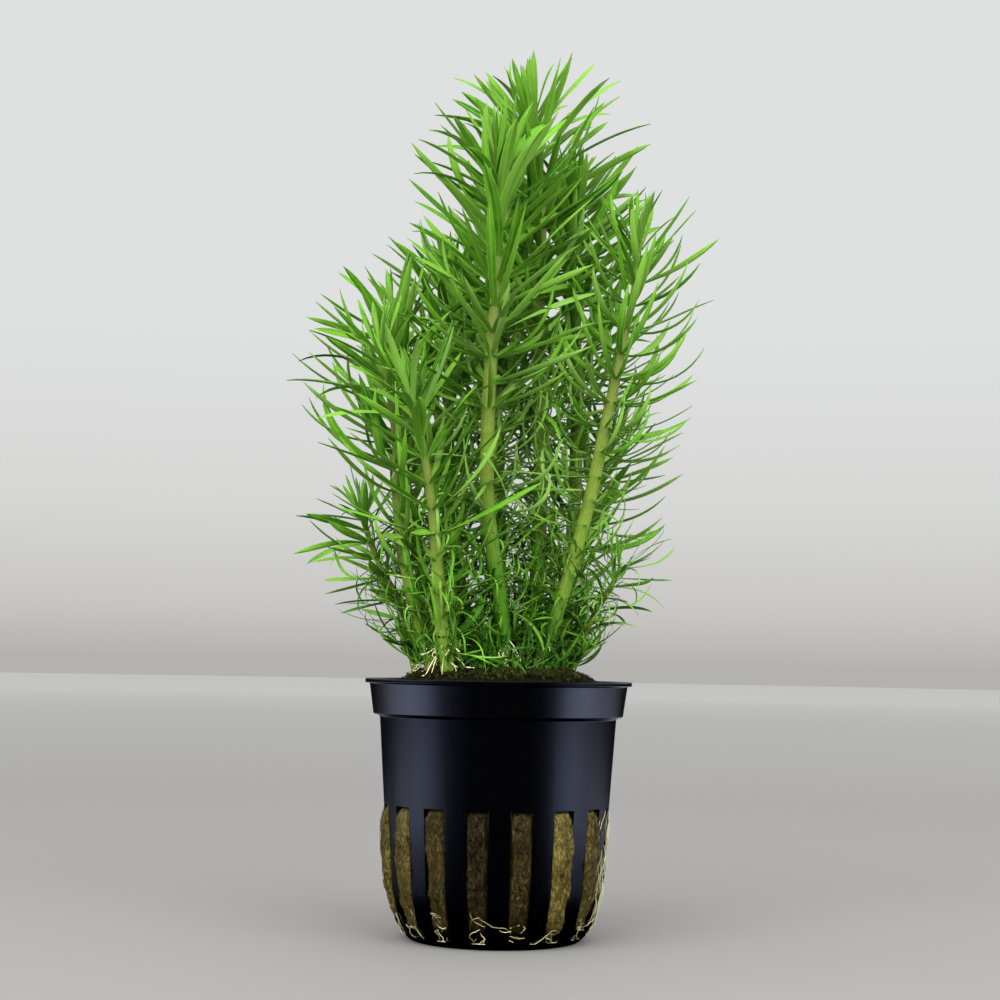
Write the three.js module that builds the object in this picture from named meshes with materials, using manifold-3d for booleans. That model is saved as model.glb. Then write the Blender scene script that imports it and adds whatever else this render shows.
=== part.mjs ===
// A stem plant grown from cuttings in a slotted net pot: the pot, its wool plug and twelve leafy shoots.
// Millimetres, +Z up. The origin is the centre of the pot's foot, and -Y is the front.
import * as THREE from "three";
import { mergeVertices } from "three/addons/utils/BufferGeometryUtils.js";
import Module from "manifold-3d";

const wasm = await Module();
wasm.setup();

// Pot: outer radii and heights
const potHeight = 52.7;
const rimRadius = 27.6;
const rimThickness = 0.9;
const collarTopRadius = 26.7;
const collarFootRadius = 25.8;
const collarFoot = 45.5;
const bodyTopRadius = 24.45;
const slotTopRadius = 23.2;
const slotTop = 27.2;
const lowerBodyRadius = 22.1;
const lowerBody = 10.7;
const cornerRadius = 20.4;
const corner = 3.6;
const slotFootRadius = 19.2;
const slotFoot = 1.6;
const footRadius = 17.6;
const drainOuterRadius = 12;
const drainInnerRadius = 7.5;
const wall = 1.1;
const slotCount = 16;
const frontRibTurn = 1.7;
const drainEvery = 4;

// Plug: it stands clear of the pot by the gap and swells out through the slots
const gap = 0.35;
const plugCrown = 55.2;
const plugShoulder = 49.5;
const wedgeGap = 0.9;
const stemDepth = 9;
const pitGap = 0.6;

// Shoots: each route is the middle of a stem from the plug's surface to its growing tip
const shoots = [
  {
    name: "shoot_centre",
    radius: 1.42,
    turn: 10,
    route: [
      [1, -8, 55.5], [0.5, -8, 66], [-2.6, -9, 86], [-3.2, -10, 102],
      [-2.5, -11, 124], [-1.5, -12, 143], [-2.5, -13, 160],
    ],
  },
  {
    name: "shoot_right",
    radius: 1.32,
    turn: 25,
    route: [
      [7.8, -4, 55.5], [12.2, -5, 68], [17.6, -6, 88], [20.8, -7, 104],
      [24, -7, 120], [26.8, -7, 135], [26.8, -7, 146],
    ],
  },
  {
    name: "shoot_left_front",
    radius: 1.4,
    turn: 0,
    route: [
      [-10.5, -12, 55.5], [-12, -13, 66], [-13.5, -15, 83], [-16, -17, 99],
      [-19.5, -18, 112],
    ],
  },
  {
    name: "shoot_left_back",
    radius: 1.35,
    turn: 40,
    route: [
      [-12.5, 6, 55.5], [-17, 6, 76], [-20.5, 6, 94], [-21, 6, 112],
      [-24, 8, 130],
    ],
  },
  {
    name: "shoot_left_low",
    radius: 1.2,
    turn: 15,
    route: [[-17.5, 2, 55.5], [-20.5, 2, 67], [-26, 2, 77.5], [-30, 2, 88]],
  },
  {
    name: "shoot_tall_back",
    radius: 1.5,
    turn: 5,
    route: [
      [6.5, 4, 55.5], [8, 6, 82], [8, 7, 106], [7, 8, 130], [7.5, 8, 156],
      [4.5, 8, 175.5],
    ],
  },
  {
    name: "shoot_right_back",
    radius: 1.4,
    turn: 33,
    route: [
      [13, 8, 55.5], [15.5, 13, 87], [16, 16, 118], [14.5, 17, 143],
      [14.5, 17, 160],
    ],
  },
  {
    name: "shoot_left_mid",
    radius: 1.35,
    turn: 20,
    route: [
      [-14, -4, 55.5], [-18.5, -4, 71], [-21.5, -4, 88], [-22.5, -4, 104],
      [-26, -5, 122],
    ],
  },
  {
    name: "shoot_back_centre",
    radius: 1.4,
    turn: 50,
    route: [
      [0, 11, 55.5], [-0.5, 15, 87], [-1.5, 19, 114], [-0.5, 21, 139],
      [0.5, 22, 153],
    ],
  },
  {
    name: "shoot_back_left",
    radius: 1.35,
    turn: 12,
    route: [
      [-6, 10, 55.5], [-10, 15, 83], [-12, 21, 107], [-12, 24, 130],
      [-13, 25, 142],
    ],
  },
  {
    name: "shoot_back_right",
    radius: 1.25,
    turn: 28,
    route: [[8.5, 13, 55.5], [15, 18, 75], [21, 21, 93], [24, 22, 107]],
  },
  {
    name: "shoot_right_low",
    radius: 1.2,
    turn: 45,
    route: [[15, 4, 55.5], [19, 5, 65], [23, 6, 72], [25.5, 6, 77]],
  },
];

// Leaves: they change from the bud down, from short and upright to long and nearly level
const leafStages = [
  { below: 0, length: 13, rise: 80, bend: -4 },
  { below: 3, length: 17, rise: 60, bend: -6 },
  { below: 7, length: 20, rise: 48, bend: -4 },
  { below: 14, length: 23, rise: 40, bend: 2 },
  { below: 30, length: 23.5, rise: 32, bend: 12 },
  { below: 60, length: 21.5, rise: 20, bend: 14 },
  { below: 85, length: 19, rise: 6, bend: 8 },
  { below: 115, length: 16, rise: -4, bend: 0 },
];
const sidesPerStem = 6;
const tipTaper = 0.62;
const firstWhorl = 1.6;
const secondWhorl = 7;
const whorlSpacing = 10.5;
const lowestWhorl = 4;
const baseLeafShare = 0.6;
const fullLeafHeight = 22;
const leafWidth = 2;
const leafThickness = 0.5;
const leafRoot = 1;
const leafMiddle = 0.45;
const leafClearance = 0.3;
const lowestLeafPoint = potHeight + 3.4;

// Ways a leaf gives way to its neighbours: swing and lift in degrees, and share of its length
const leafWays = [
  [0, 0, 1], [9, 0, 1], [-9, 0, 1], [0, 11, 1], [0, -11, 1], [16, 6, 1], [-16, 6, 1],
  [10, -12, 0.9], [-10, -12, 0.9], [20, 14, 0.9], [-20, 14, 0.9], [0, 20, 0.8], [0, 0, 0.75],
  [14, 8, 0.65], [-14, 8, 0.65], [0, 0, 0.5], [0, 8, 0.35],
];

const degrees = Math.PI / 180;

const potPlastic = new THREE.MeshStandardMaterial({ color: "#14161a", roughness: 0.35, metalness: 0 });
const mineralWool = new THREE.MeshStandardMaterial({ color: "#8a8040", roughness: 0.95, metalness: 0 });
const leafGreen = new THREE.MeshStandardMaterial({ color: "#5aa51f", roughness: 0.45, metalness: 0 });

// A closed body from triangles whose corners are points
function bodyFromTriangles(triangles) {
  const positions = [];
  for (const [a, b, c] of triangles) {
    const flat = a.distanceTo(b) < 1e-6 || b.distanceTo(c) < 1e-6 || c.distanceTo(a) < 1e-6;
    if (!flat) {
      positions.push(a.x, a.y, a.z, b.x, b.y, b.z, c.x, c.y, c.z);
    }
  }
  const geometry = new THREE.BufferGeometry();
  geometry.setAttribute("position", new THREE.Float32BufferAttribute(positions, 3));
  const merged = mergeVertices(geometry, 1e-4);
  merged.computeVertexNormals();
  return merged;
}

function pushQuad(triangles, a, b, c, d) {
  triangles.push([a, b, c], [a, c, d]);
}

// A turned wall of cells between two profiles that run from top to foot. Cells that isCell leaves out
// are open, or bare core where the wall has one.
function cellWall({ angles, outer, inner, isCell, hasCore }) {
  const triangles = [];
  const sides = angles.length - 1;
  const rows = outer.length - 1;
  const point = ([radius, height], angle) =>
    new THREE.Vector3(radius * Math.cos(angle * degrees), radius * Math.sin(angle * degrees), height);
  const filled = (side, row) => row >= 0 && row < rows && isCell((side + sides) % sides, row);
  for (let side = 0; side < sides; side += 1) {
    const [left, right] = [angles[side], angles[side + 1]];
    for (let row = 0; row < rows; row += 1) {
      const [outTopLeft, outTopRight] = [point(outer[row], left), point(outer[row], right)];
      const [outLowLeft, outLowRight] = [point(outer[row + 1], left), point(outer[row + 1], right)];
      const [inTopLeft, inTopRight] = [point(inner[row], left), point(inner[row], right)];
      const [inLowLeft, inLowRight] = [point(inner[row + 1], left), point(inner[row + 1], right)];
      if (!filled(side, row)) {
        if (hasCore) {
          pushQuad(triangles, inTopLeft, inLowLeft, inLowRight, inTopRight);
        }
        continue;
      }
      pushQuad(triangles, outTopLeft, outLowLeft, outLowRight, outTopRight);
      if (!hasCore) {
        pushQuad(triangles, inTopLeft, inTopRight, inLowRight, inLowLeft);
      }
      if (!filled(side - 1, row)) {
        pushQuad(triangles, outLowLeft, outTopLeft, inTopLeft, inLowLeft);
      }
      if (!filled(side + 1, row)) {
        pushQuad(triangles, outTopRight, outLowRight, inLowRight, inTopRight);
      }
      if (!filled(side, row - 1)) {
        pushQuad(triangles, outTopLeft, outTopRight, inTopRight, inTopLeft);
      }
      if (!filled(side, row + 1)) {
        pushQuad(triangles, outLowRight, outLowLeft, inLowLeft, inLowRight);
      }
    }
  }
  return bodyFromTriangles(triangles);
}

const sideCount = slotCount * 2;
const sideAngle = 360 / sideCount;
const firstSide = -90 + frontRibTurn - sideAngle / 2;

// The pot: even sides are ribs and odd sides are slots below the plain band
function makePot() {
  const angles = [];
  for (let side = 0; side <= sideCount; side += 1) {
    angles.push(firstSide + side * sideAngle);
  }
  const outer = [
    [rimRadius, potHeight],
    [rimRadius, potHeight - rimThickness],
    [collarTopRadius, potHeight - rimThickness],
    [collarFootRadius, collarFoot],
    [bodyTopRadius, collarFoot - 0.4],
    [slotTopRadius, slotTop],
    [lowerBodyRadius, lowerBody],
    [cornerRadius, corner],
    [slotFootRadius, slotFoot],
    [footRadius, 0],
    [drainOuterRadius, 0],
    [drainInnerRadius, 0],
    [0, 0],
  ];
  const inner = [
    [collarTopRadius - 0.6, potHeight],
    [collarTopRadius - 0.8, potHeight - 0.7],
    [collarTopRadius - wall, potHeight - rimThickness * 2],
    [collarFootRadius - wall, collarFoot],
    [bodyTopRadius - wall, collarFoot - wall],
    [slotTopRadius - wall, slotTop],
    [lowerBodyRadius - wall, lowerBody],
    [cornerRadius - wall, corner + 0.3],
    [slotFootRadius - wall * 0.9, slotFoot + 0.6],
    [footRadius - 0.6, wall],
    [drainOuterRadius, wall],
    [drainInnerRadius, wall],
    [0, wall],
  ];
  const [slotFirstRow, slotLastRow, drainRow] = [5, 7, 10];
  const isCell = (side, row) => {
    const inSlot = side % 2 === 1 && row >= slotFirstRow && row <= slotLastRow;
    const inDrain = side % drainEvery === 1 && row === drainRow;
    return !inSlot && !inDrain;
  };
  return cellWall({ angles, outer, inner, isCell, hasCore: false });
}

// The plug: a core inside the pot with a swollen ridge in every slot
function makePlug() {
  const angles = [];
  for (let slot = 0; slot < slotCount; slot += 1) {
    const slotStart = firstSide + (2 * slot + 1) * sideAngle;
    angles.push(slotStart + wedgeGap, slotStart + sideAngle - wedgeGap);
  }
  angles.push(angles[0] + 360);
  const middle = (slotTop + lowerBody) / 2;
  const middleRadius = (slotTopRadius + lowerBodyRadius) / 2 + 0.2;
  const inset = wall + gap;
  // Radius, height and how far the wool stands proud of the pot in a slot
  const rows = [
    [0, plugCrown, 0],
    [14, plugCrown - 0.6, 0],
    [21, plugCrown - 2.8, 0],
    [collarTopRadius - inset - gap, plugShoulder, 0],
    [collarFootRadius - inset, collarFoot + gap, 0],
    [bodyTopRadius - inset, collarFoot - wall + gap, 0],
    [slotTopRadius - inset, slotTop - gap, 0.5],
    [middleRadius - inset, middle, 1.2],
    [lowerBodyRadius - inset, lowerBody, 1],
    [cornerRadius - inset, corner + 0.5, 0.6],
    [slotFootRadius - inset, slotFoot + 1, 0.4],
    [footRadius - 0.8, inset, 0],
    [0, inset, 0],
  ];
  const core = rows.map(([radius, height]) => [radius, height]);
  const swell = rows.map(([radius, height, proud]) => [radius + inset + proud, height]);
  const [ridgeFirstRow, ridgeLastRow] = [6, 9];
  const isCell = (side, row) => side % 2 === 0 && row >= ridgeFirstRow && row <= ridgeLastRow;
  return cellWall({ angles, outer: swell, inner: core, isCell, hasCore: true });
}

function toSolid(geometry) {
  const bare = geometry.clone();
  bare.deleteAttribute("normal");
  bare.deleteAttribute("uv");
  const merged = mergeVertices(bare, 1e-4);
  const mesh = new wasm.Mesh({
    numProp: 3,
    vertProperties: new Float32Array(merged.attributes.position.array),
    triVerts: new Uint32Array(merged.index.array),
  });
  return new wasm.Manifold(mesh);
}

function fromSolid(solid) {
  const { vertProperties, triVerts } = solid.getMesh();
  const geometry = new THREE.BufferGeometry();
  geometry.setAttribute("position", new THREE.BufferAttribute(vertProperties, 3));
  geometry.setIndex(new THREE.BufferAttribute(triVerts, 1));
  geometry.computeVertexNormals();
  return geometry;
}

// A stem starts inside the plug, on the line of its first stretch
function stemFoot({ route }) {
  const [surface, second] = route.slice(0, 2).map((place) => new THREE.Vector3(...place));
  const direction = second.sub(surface).normalize();
  return { surface, direction, foot: surface.clone().addScaledVector(direction, -stemDepth) };
}

// Each stem stands in a pit of its own in the plug
function cutPits(plugGeometry) {
  let plug = toSolid(plugGeometry);
  const upright = new THREE.Vector3(0, 1, 0);
  const pitLength = stemDepth * 2;
  for (const shoot of shoots) {
    const { direction, foot } = stemFoot(shoot);
    const pit = new THREE.CylinderGeometry(shoot.radius + pitGap, shoot.radius + pitGap, pitLength, 8);
    pit.translate(0, pitLength / 2 - gap, 0);
    pit.applyQuaternion(new THREE.Quaternion().setFromUnitVectors(upright, direction));
    pit.translate(foot.x, foot.y, foot.z);
    plug = plug.subtract(toSolid(pit));
  }
  return fromSolid(plug);
}

// A stem's middle line, from its foot in the plug to its growing tip
function stemCurve(shoot) {
  const points = [stemFoot(shoot).foot, ...shoot.route.map((place) => new THREE.Vector3(...place))];
  const curve = new THREE.CatmullRomCurve3(points, false, "catmullrom", 0.5);
  curve.arcLengthDivisions = 400;
  return curve;
}

// Place, direction and the two cross directions at a length along the stem
function frameAt(curve, total, along) {
  const share = THREE.MathUtils.clamp(along / total, 0, 1);
  const place = curve.getPointAt(share);
  const up = curve.getTangentAt(share);
  const right = new THREE.Vector3(0, 1, 0).cross(up).normalize();
  const back = up.clone().cross(right);
  return { place, up, right, back };
}

function outward({ right, back }, angle) {
  const [cosine, sine] = [Math.cos(angle * degrees), Math.sin(angle * degrees)];
  return right.clone().multiplyScalar(cosine).addScaledVector(back, sine);
}

function leafStage(below) {
  const last = leafStages.length - 1;
  const next = leafStages.findIndex((stage) => stage.below > below);
  const upper = leafStages[next < 0 ? last : next];
  const lower = leafStages[next < 0 ? last : next - 1];
  const share = upper === lower ? 0 : (below - lower.below) / (upper.below - lower.below);
  const mix = (key) => THREE.MathUtils.lerp(lower[key], upper[key], share);
  return { length: mix("length"), rise: mix("rise"), bend: mix("bend") };
}

// Closest approach of two tapering rods, as the free space between their surfaces
function spaceBetween(first, second) {
  const along1 = first.end.clone().sub(first.start);
  const along2 = second.end.clone().sub(second.start);
  const offset = first.start.clone().sub(second.start);
  const a = along1.lengthSq();
  const e = along2.lengthSq();
  const f = along2.dot(offset);
  const c = along1.dot(offset);
  const b = along1.dot(along2);
  const spread = a * e - b * b;
  let s = spread > 1e-9 ? THREE.MathUtils.clamp((b * f - c * e) / spread, 0, 1) : 0;
  let t = (b * s + f) / e;
  if (t < 0 || t > 1) {
    t = THREE.MathUtils.clamp(t, 0, 1);
    s = THREE.MathUtils.clamp((b * t - c) / a, 0, 1);
  }
  const place1 = first.start.clone().addScaledVector(along1, s);
  const place2 = second.start.clone().addScaledVector(along2, t);
  const radius1 = THREE.MathUtils.lerp(first.startRadius, first.endRadius, s);
  const radius2 = THREE.MathUtils.lerp(second.startRadius, second.endRadius, t);
  return place1.distanceTo(place2) - radius1 - radius2;
}

function rod(start, end, startRadius, endRadius, owner) {
  return { start, end, startRadius, endRadius, owner };
}

// A leaf's middle and tip, from its root on the stem
function leafLine(root, out, up, stage, [, lift, share]) {
  const length = stage.length * share;
  const direction = (angle) =>
    out.clone().multiplyScalar(Math.cos(angle * degrees)).addScaledVector(up, Math.sin(angle * degrees));
  const rise = stage.rise + lift;
  const firstHalf = direction(rise + stage.bend * leafMiddle * 0.5);
  const secondHalf = direction(rise + stage.bend * (1 + leafMiddle) * 0.5);
  const middle = root.clone().addScaledVector(firstHalf, length * leafMiddle);
  const tip = middle.clone().addScaledVector(secondHalf, length * (1 - leafMiddle));
  return { middle, tip, firstHalf, secondHalf };
}

// The first way of growing that keeps a leaf clear of every neighbour, or none
function growLeaf(frame, angle, stemRadius, stage, owner, rods) {
  const faceRadius = stemRadius * Math.cos(Math.PI / sidesPerStem);
  const isNeighbour = (other) =>
    other.owner.shoot !== owner.shoot || (other.owner.whorl !== owner.whorl && other.owner.whorl >= 0);
  for (const way of leafWays) {
    const out = outward(frame, angle + way[0]);
    const root = frame.place.clone().addScaledVector(outward(frame, angle), faceRadius);
    const line = leafLine(root, out, frame.up, stage, way);
    const reach = line.middle.clone().sub(frame.place).projectOnPlane(frame.up).length();
    const width = Math.min(leafWidth, reach * 0.8);
    const pieces = [
      rod(root, line.middle, stemRadius * 0.5, width / 2, owner),
      rod(line.middle, line.tip, width / 2, 0.1, owner),
    ];
    const tooLow = Math.min(line.middle.z, line.tip.z) < lowestLeafPoint;
    const blocked = rods.some(
      (other) => isNeighbour(other) && pieces.some((piece) => spaceBetween(piece, other) < leafClearance),
    );
    if (!tooLow && !blocked) {
      rods.push(...pieces);
      return { ...line, out, width };
    }
  }
  return null;
}

// A leaf stands on one side of the stem: a keeled blade that comes to a point
function pushLeaf(triangles, [lowLeft, lowRight, topRight, topLeft], leaf, up) {
  const across = up.clone().cross(leaf.out).normalize();
  const bladeUp = leaf.firstHalf.clone().cross(across).normalize();
  const left = leaf.middle.clone().addScaledVector(across, -leaf.width / 2);
  const right = leaf.middle.clone().addScaledVector(across, leaf.width / 2);
  const keel = leaf.middle.clone().addScaledVector(bladeUp, -leafThickness);
  pushQuad(triangles, topLeft, left, right, topRight);
  pushQuad(triangles, topLeft, lowLeft, keel, left);
  pushQuad(triangles, topRight, right, keel, lowRight);
  triangles.push([lowLeft, lowRight, keel]);
  triangles.push([left, leaf.tip, right], [left, keel, leaf.tip], [keel, right, leaf.tip]);
}

// Lengths along the stem at which the whorls sit, from the lowest up
function whorlPlaces(total) {
  const places = [total - firstWhorl];
  for (let below = secondWhorl; total - below > stemDepth + lowestWhorl; below += whorlSpacing) {
    places.unshift(total - below);
  }
  return places;
}

function ringAt(curve, total, along, radius, turn) {
  const frame = frameAt(curve, total, along);
  const ring = [];
  for (let side = 0; side < sidesPerStem; side += 1) {
    const angle = turn + ((side - 0.5) * 360) / sidesPerStem;
    ring.push(frame.place.clone().addScaledVector(outward(frame, angle), radius));
  }
  return ring;
}

function makeShoot(shoot, shootIndex, rods) {
  const curve = stemCurve(shoot);
  const total = curve.getLength();
  const radiusAt = (along) => shoot.radius * THREE.MathUtils.lerp(1, tipTaper, along / total);
  const triangles = [];
  const pushWalls = (lower, upper, leaves, frame) => {
    for (let side = 0; side < sidesPerStem; side += 1) {
      const next = (side + 1) % sidesPerStem;
      const corners = [lower[side], lower[next], upper[next], upper[side]];
      if (leaves && leaves[side]) {
        pushLeaf(triangles, corners, leaves[side], frame.up);
      } else {
        pushQuad(triangles, ...corners);
      }
    }
  };
  let below = ringAt(curve, total, 0, radiusAt(0), shoot.turn);
  for (let side = 1; side < sidesPerStem - 1; side += 1) {
    triangles.push([below[0], below[side + 1], below[side]]);
  }
  whorlPlaces(total).forEach((along, whorl) => {
    const turn = shoot.turn + (whorl * 180) / sidesPerStem;
    const lower = ringAt(curve, total, along - leafRoot / 2, radiusAt(along), turn);
    const upper = ringAt(curve, total, along + leafRoot / 2, radiusAt(along), turn);
    const frame = frameAt(curve, total, along);
    const stage = leafStage(total - along);
    const grown = THREE.MathUtils.clamp((along - stemDepth) / fullLeafHeight, 0, 1);
    stage.length *= THREE.MathUtils.lerp(baseLeafShare, 1, grown);
    const leaves = [];
    for (let side = 0; side < sidesPerStem; side += 1) {
      const angle = turn + (side * 360) / sidesPerStem;
      leaves.push(growLeaf(frame, angle, radiusAt(along), stage, { shoot: shootIndex, whorl }, rods));
    }
    pushWalls(below, lower, null, frame);
    pushWalls(lower, upper, leaves, frame);
    below = upper;
  });
  const tip = curve.getPointAt(1);
  for (let side = 0; side < sidesPerStem; side += 1) {
    triangles.push([below[side], below[(side + 1) % sidesPerStem], tip]);
  }
  return bodyFromTriangles(triangles);
}

// Every stem is in place before the first leaf grows, so that no leaf crosses one
function stemRods() {
  const rods = [];
  const steps = 24;
  shoots.forEach((shoot, shootIndex) => {
    const points = stemCurve(shoot).getSpacedPoints(steps);
    for (let step = 0; step < steps; step += 1) {
      const owner = { shoot: shootIndex, whorl: -1 };
      rods.push(rod(points[step], points[step + 1], shoot.radius, shoot.radius, owner));
    }
  });
  return rods;
}

const plant = new THREE.Group();

function addPiece(name, geometry, material) {
  const mesh = new THREE.Mesh(geometry, material);
  mesh.name = name;
  plant.add(mesh);
}

addPiece("net_pot", makePot(), potPlastic);
addPiece("wool_plug", cutPits(makePlug()), mineralWool);
const rods = stemRods();
shoots.forEach((shoot, shootIndex) => {
  addPiece(shoot.name, makeShoot(shoot, shootIndex, rods), leafGreen);
});

export default plant;
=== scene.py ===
import random
from functools import partial
from math import cos, degrees, hypot, pi, radians, sin, sqrt

import bpy
from mathutils import Matrix, Vector, kdtree, noise


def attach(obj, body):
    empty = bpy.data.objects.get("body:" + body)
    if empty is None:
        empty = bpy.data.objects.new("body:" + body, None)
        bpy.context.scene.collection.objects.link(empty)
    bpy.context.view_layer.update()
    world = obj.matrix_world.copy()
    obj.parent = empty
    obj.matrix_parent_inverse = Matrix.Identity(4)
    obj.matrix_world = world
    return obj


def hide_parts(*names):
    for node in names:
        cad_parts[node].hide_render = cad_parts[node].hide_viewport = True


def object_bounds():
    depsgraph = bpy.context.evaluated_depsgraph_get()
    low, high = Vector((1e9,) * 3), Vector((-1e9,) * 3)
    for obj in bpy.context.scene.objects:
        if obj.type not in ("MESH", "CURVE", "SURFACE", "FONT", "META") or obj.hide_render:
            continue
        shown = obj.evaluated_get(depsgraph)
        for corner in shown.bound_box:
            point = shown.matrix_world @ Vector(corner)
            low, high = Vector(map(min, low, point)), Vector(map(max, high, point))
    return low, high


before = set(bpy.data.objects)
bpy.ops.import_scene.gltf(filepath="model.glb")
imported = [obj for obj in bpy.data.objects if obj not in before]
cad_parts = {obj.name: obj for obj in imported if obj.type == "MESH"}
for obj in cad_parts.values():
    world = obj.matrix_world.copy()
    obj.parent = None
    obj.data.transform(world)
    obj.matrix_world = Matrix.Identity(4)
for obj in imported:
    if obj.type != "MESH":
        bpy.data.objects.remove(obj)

# A stem plant in a slotted net pot. Shapes are worked out in millimetres and turned to metres in each mesh.
mm = 0.001
cadLow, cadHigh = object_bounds()
lowCorner, highCorner = cadLow / mm, cadHigh / mm
print("frame loaded with", len(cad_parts), "nodes")


def lerp(first, second, share):
    return first + (second - first) * share


def clamp(value, low=0.0, high=1.0):
    return max(low, min(high, value))


def smoothStep(low, high, value):
    share = clamp((value - low) / (high - low))
    return share * share * (3 - 2 * share)


# Value at a place along a list of (place, value) pairs
def along(pairs, place):
    if place <= pairs[0][0]:
        return pairs[0][1]
    for (start, first), (end, second) in zip(pairs, pairs[1:]):
        if place <= end:
            return lerp(first, second, (place - start) / (end - start))
    return pairs[-1][1]


def onCircle(radius, angle, height):
    turn = radians(angle)
    return Vector((radius * cos(turn), radius * sin(turn), height))


# Direction between two that cross, at an angle from the first
def between(first, second, angle):
    return first * cos(angle) + second * sin(angle)


# Level direction that a thread heads in
def levelWay(heading):
    return Vector((cos(heading), sin(heading), 0))


# sRGB hex to linear colour
def linear(code):
    channels = [int(code[i:i + 2], 16) / 255 for i in (1, 3, 5)]
    return [c / 12.92 if c <= 0.04045 else ((c + 0.055) / 1.055) ** 2.4 for c in channels] + [1.0]


# Adds one shader node and gives back its outputs. Inputs are values or the sockets that feed them, and stops
# are a ramp's places and colours.
def addNode(tree, kind, inputs=None, stops=None, **settings):
    node = tree.nodes.new("ShaderNode" + kind)
    for name, value in settings.items():
        setattr(node, name, value)
    for name, value in (inputs or {}).items():
        if isinstance(value, bpy.types.NodeSocket):
            tree.links.new(value, node.inputs[name])
        else:
            node.inputs[name].default_value = value
    if stops:
        elements = node.color_ramp.elements
        while len(elements) < len(stops):
            elements.new(0.5)
        for element, (place, code) in zip(elements, stops):
            element.position = place
            element.color = linear(code)
    return node.outputs


# Clears the nodes of a material or world and gives back the function that adds new ones to it
def emptied(holder):
    holder.use_nodes = True
    holder.node_tree.nodes.clear()
    return partial(addNode, holder.node_tree)


# A new material, the function that adds its nodes, and the painted values that it reads
def newMaterial(name, *painted):
    material = bpy.data.materials.new(name)
    add = emptied(material)
    return material, add, *(add("Attribute", attribute_name=value)["Fac"] for value in painted)


def addObject(name, data):
    holder = bpy.data.objects.new(name, data)
    bpy.context.scene.collection.objects.link(holder)
    return holder


# Points in millimetres, faces and painted values of one mesh, gathered before Blender gets them
class Draft:
    def __init__(self, *painted):
        self.points = []
        self.faces = []
        self.finishes = []
        self.painted = {name: [] for name in painted}

    def addPoint(self, place, **values):
        self.points.append((place[0] * mm, place[1] * mm, place[2] * mm))
        for name, held in self.painted.items():
            held.append(values.get(name, 0.0))
        return len(self.points) - 1

    def addFace(self, *corners, finish=0):
        self.faces.append(corners)
        self.finishes.append(finish)

    # Walls between two rings of point numbers
    def addWalls(self, lower, upper, finish=0):
        for side in range(len(lower)):
            following = (side + 1) % len(lower)
            self.addFace(lower[side], lower[following], upper[following], upper[side], finish=finish)

    # A round thread through places, thinner towards its ends
    def addThread(self, places, radius, sides=3, finish=0, **values):
        rings = []
        for index, place in enumerate(places):
            before, after = places[max(index - 1, 0)], places[min(index + 1, len(places) - 1)]
            heading = (after - before).normalized()
            across = heading.orthogonal().normalized()
            other = heading.cross(across)
            share = index / (len(places) - 1)
            thick = radius * (0.35 + 0.65 * sin(pi * clamp(share, 0.12, 0.88)))
            rings.append([
                self.addPoint(place + between(across, other, 2 * pi * side / sides) * thick, **values)
                for side in range(sides)
            ])
        for lower, upper in zip(rings, rings[1:]):
            self.addWalls(lower, upper, finish)
        self.addFace(*reversed(rings[0]), finish=finish)
        self.addFace(*rings[-1], finish=finish)

    # The gathered mesh in an object of its own
    def makeObject(self, name, materials):
        mesh = bpy.data.meshes.new(name)
        mesh.from_pydata(self.points, [], self.faces)
        for painted, held in self.painted.items():
            mesh.attributes.new(painted, "FLOAT", "POINT").data.foreach_set("value", held)
        for material in materials:
            mesh.materials.append(material)
        mesh.polygons.foreach_set("material_index", self.finishes)
        return addObject(name, mesh)


# Makes a mesh piece that rides on the plant and stands for solids of the frame
def makePiece(name, draft, materials, slot, *nodes, sharpAngle=None):
    piece = draft.makeObject(name, materials)
    mesh = piece.data
    mesh.polygons.foreach_set("use_smooth", [True] * len(draft.faces))
    mesh.update()
    if sharpAngle:
        mesh.set_sharp_from_angle(angle=radians(sharpAngle))
    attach(piece, "root")
    if nodes:
        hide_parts(*nodes)
    triangles = sum(len(face) - 2 for face in draft.faces)
    print("made", name, "with", triangles, "triangles")
    return piece


# Camera: a long lens a little above the pot's rim, looking slightly up, as the photograph was taken
camera = {
    "lens": 69.08,
    "sensor": 36,
    "clip": (0.01, 50),
    "place": (0.0, -400.0, 56.1),
    "aim": (-0.4, 0.0, 90.2),
    "roll": 1.02,
}


def makeCamera():
    data = bpy.data.cameras.new("camera")
    data.lens = camera["lens"]
    data.sensor_width = camera["sensor"]
    data.clip_start, data.clip_end = camera["clip"]
    holder = addObject("camera", data)
    place, aim = Vector(camera["place"]), Vector(camera["aim"])
    forward = (aim - place).normalized()
    level = forward.cross(Vector((0, 0, 1))).normalized()
    upright = level.cross(forward)
    roll = radians(camera["roll"])
    right, up = between(level, upright, roll), between(upright, -level, roll)
    turned = Matrix((right, up, -forward)).transposed()
    holder.matrix_world = Matrix.Translation(place * mm) @ turned.to_4x4()
    bpy.context.scene.camera = holder


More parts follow.
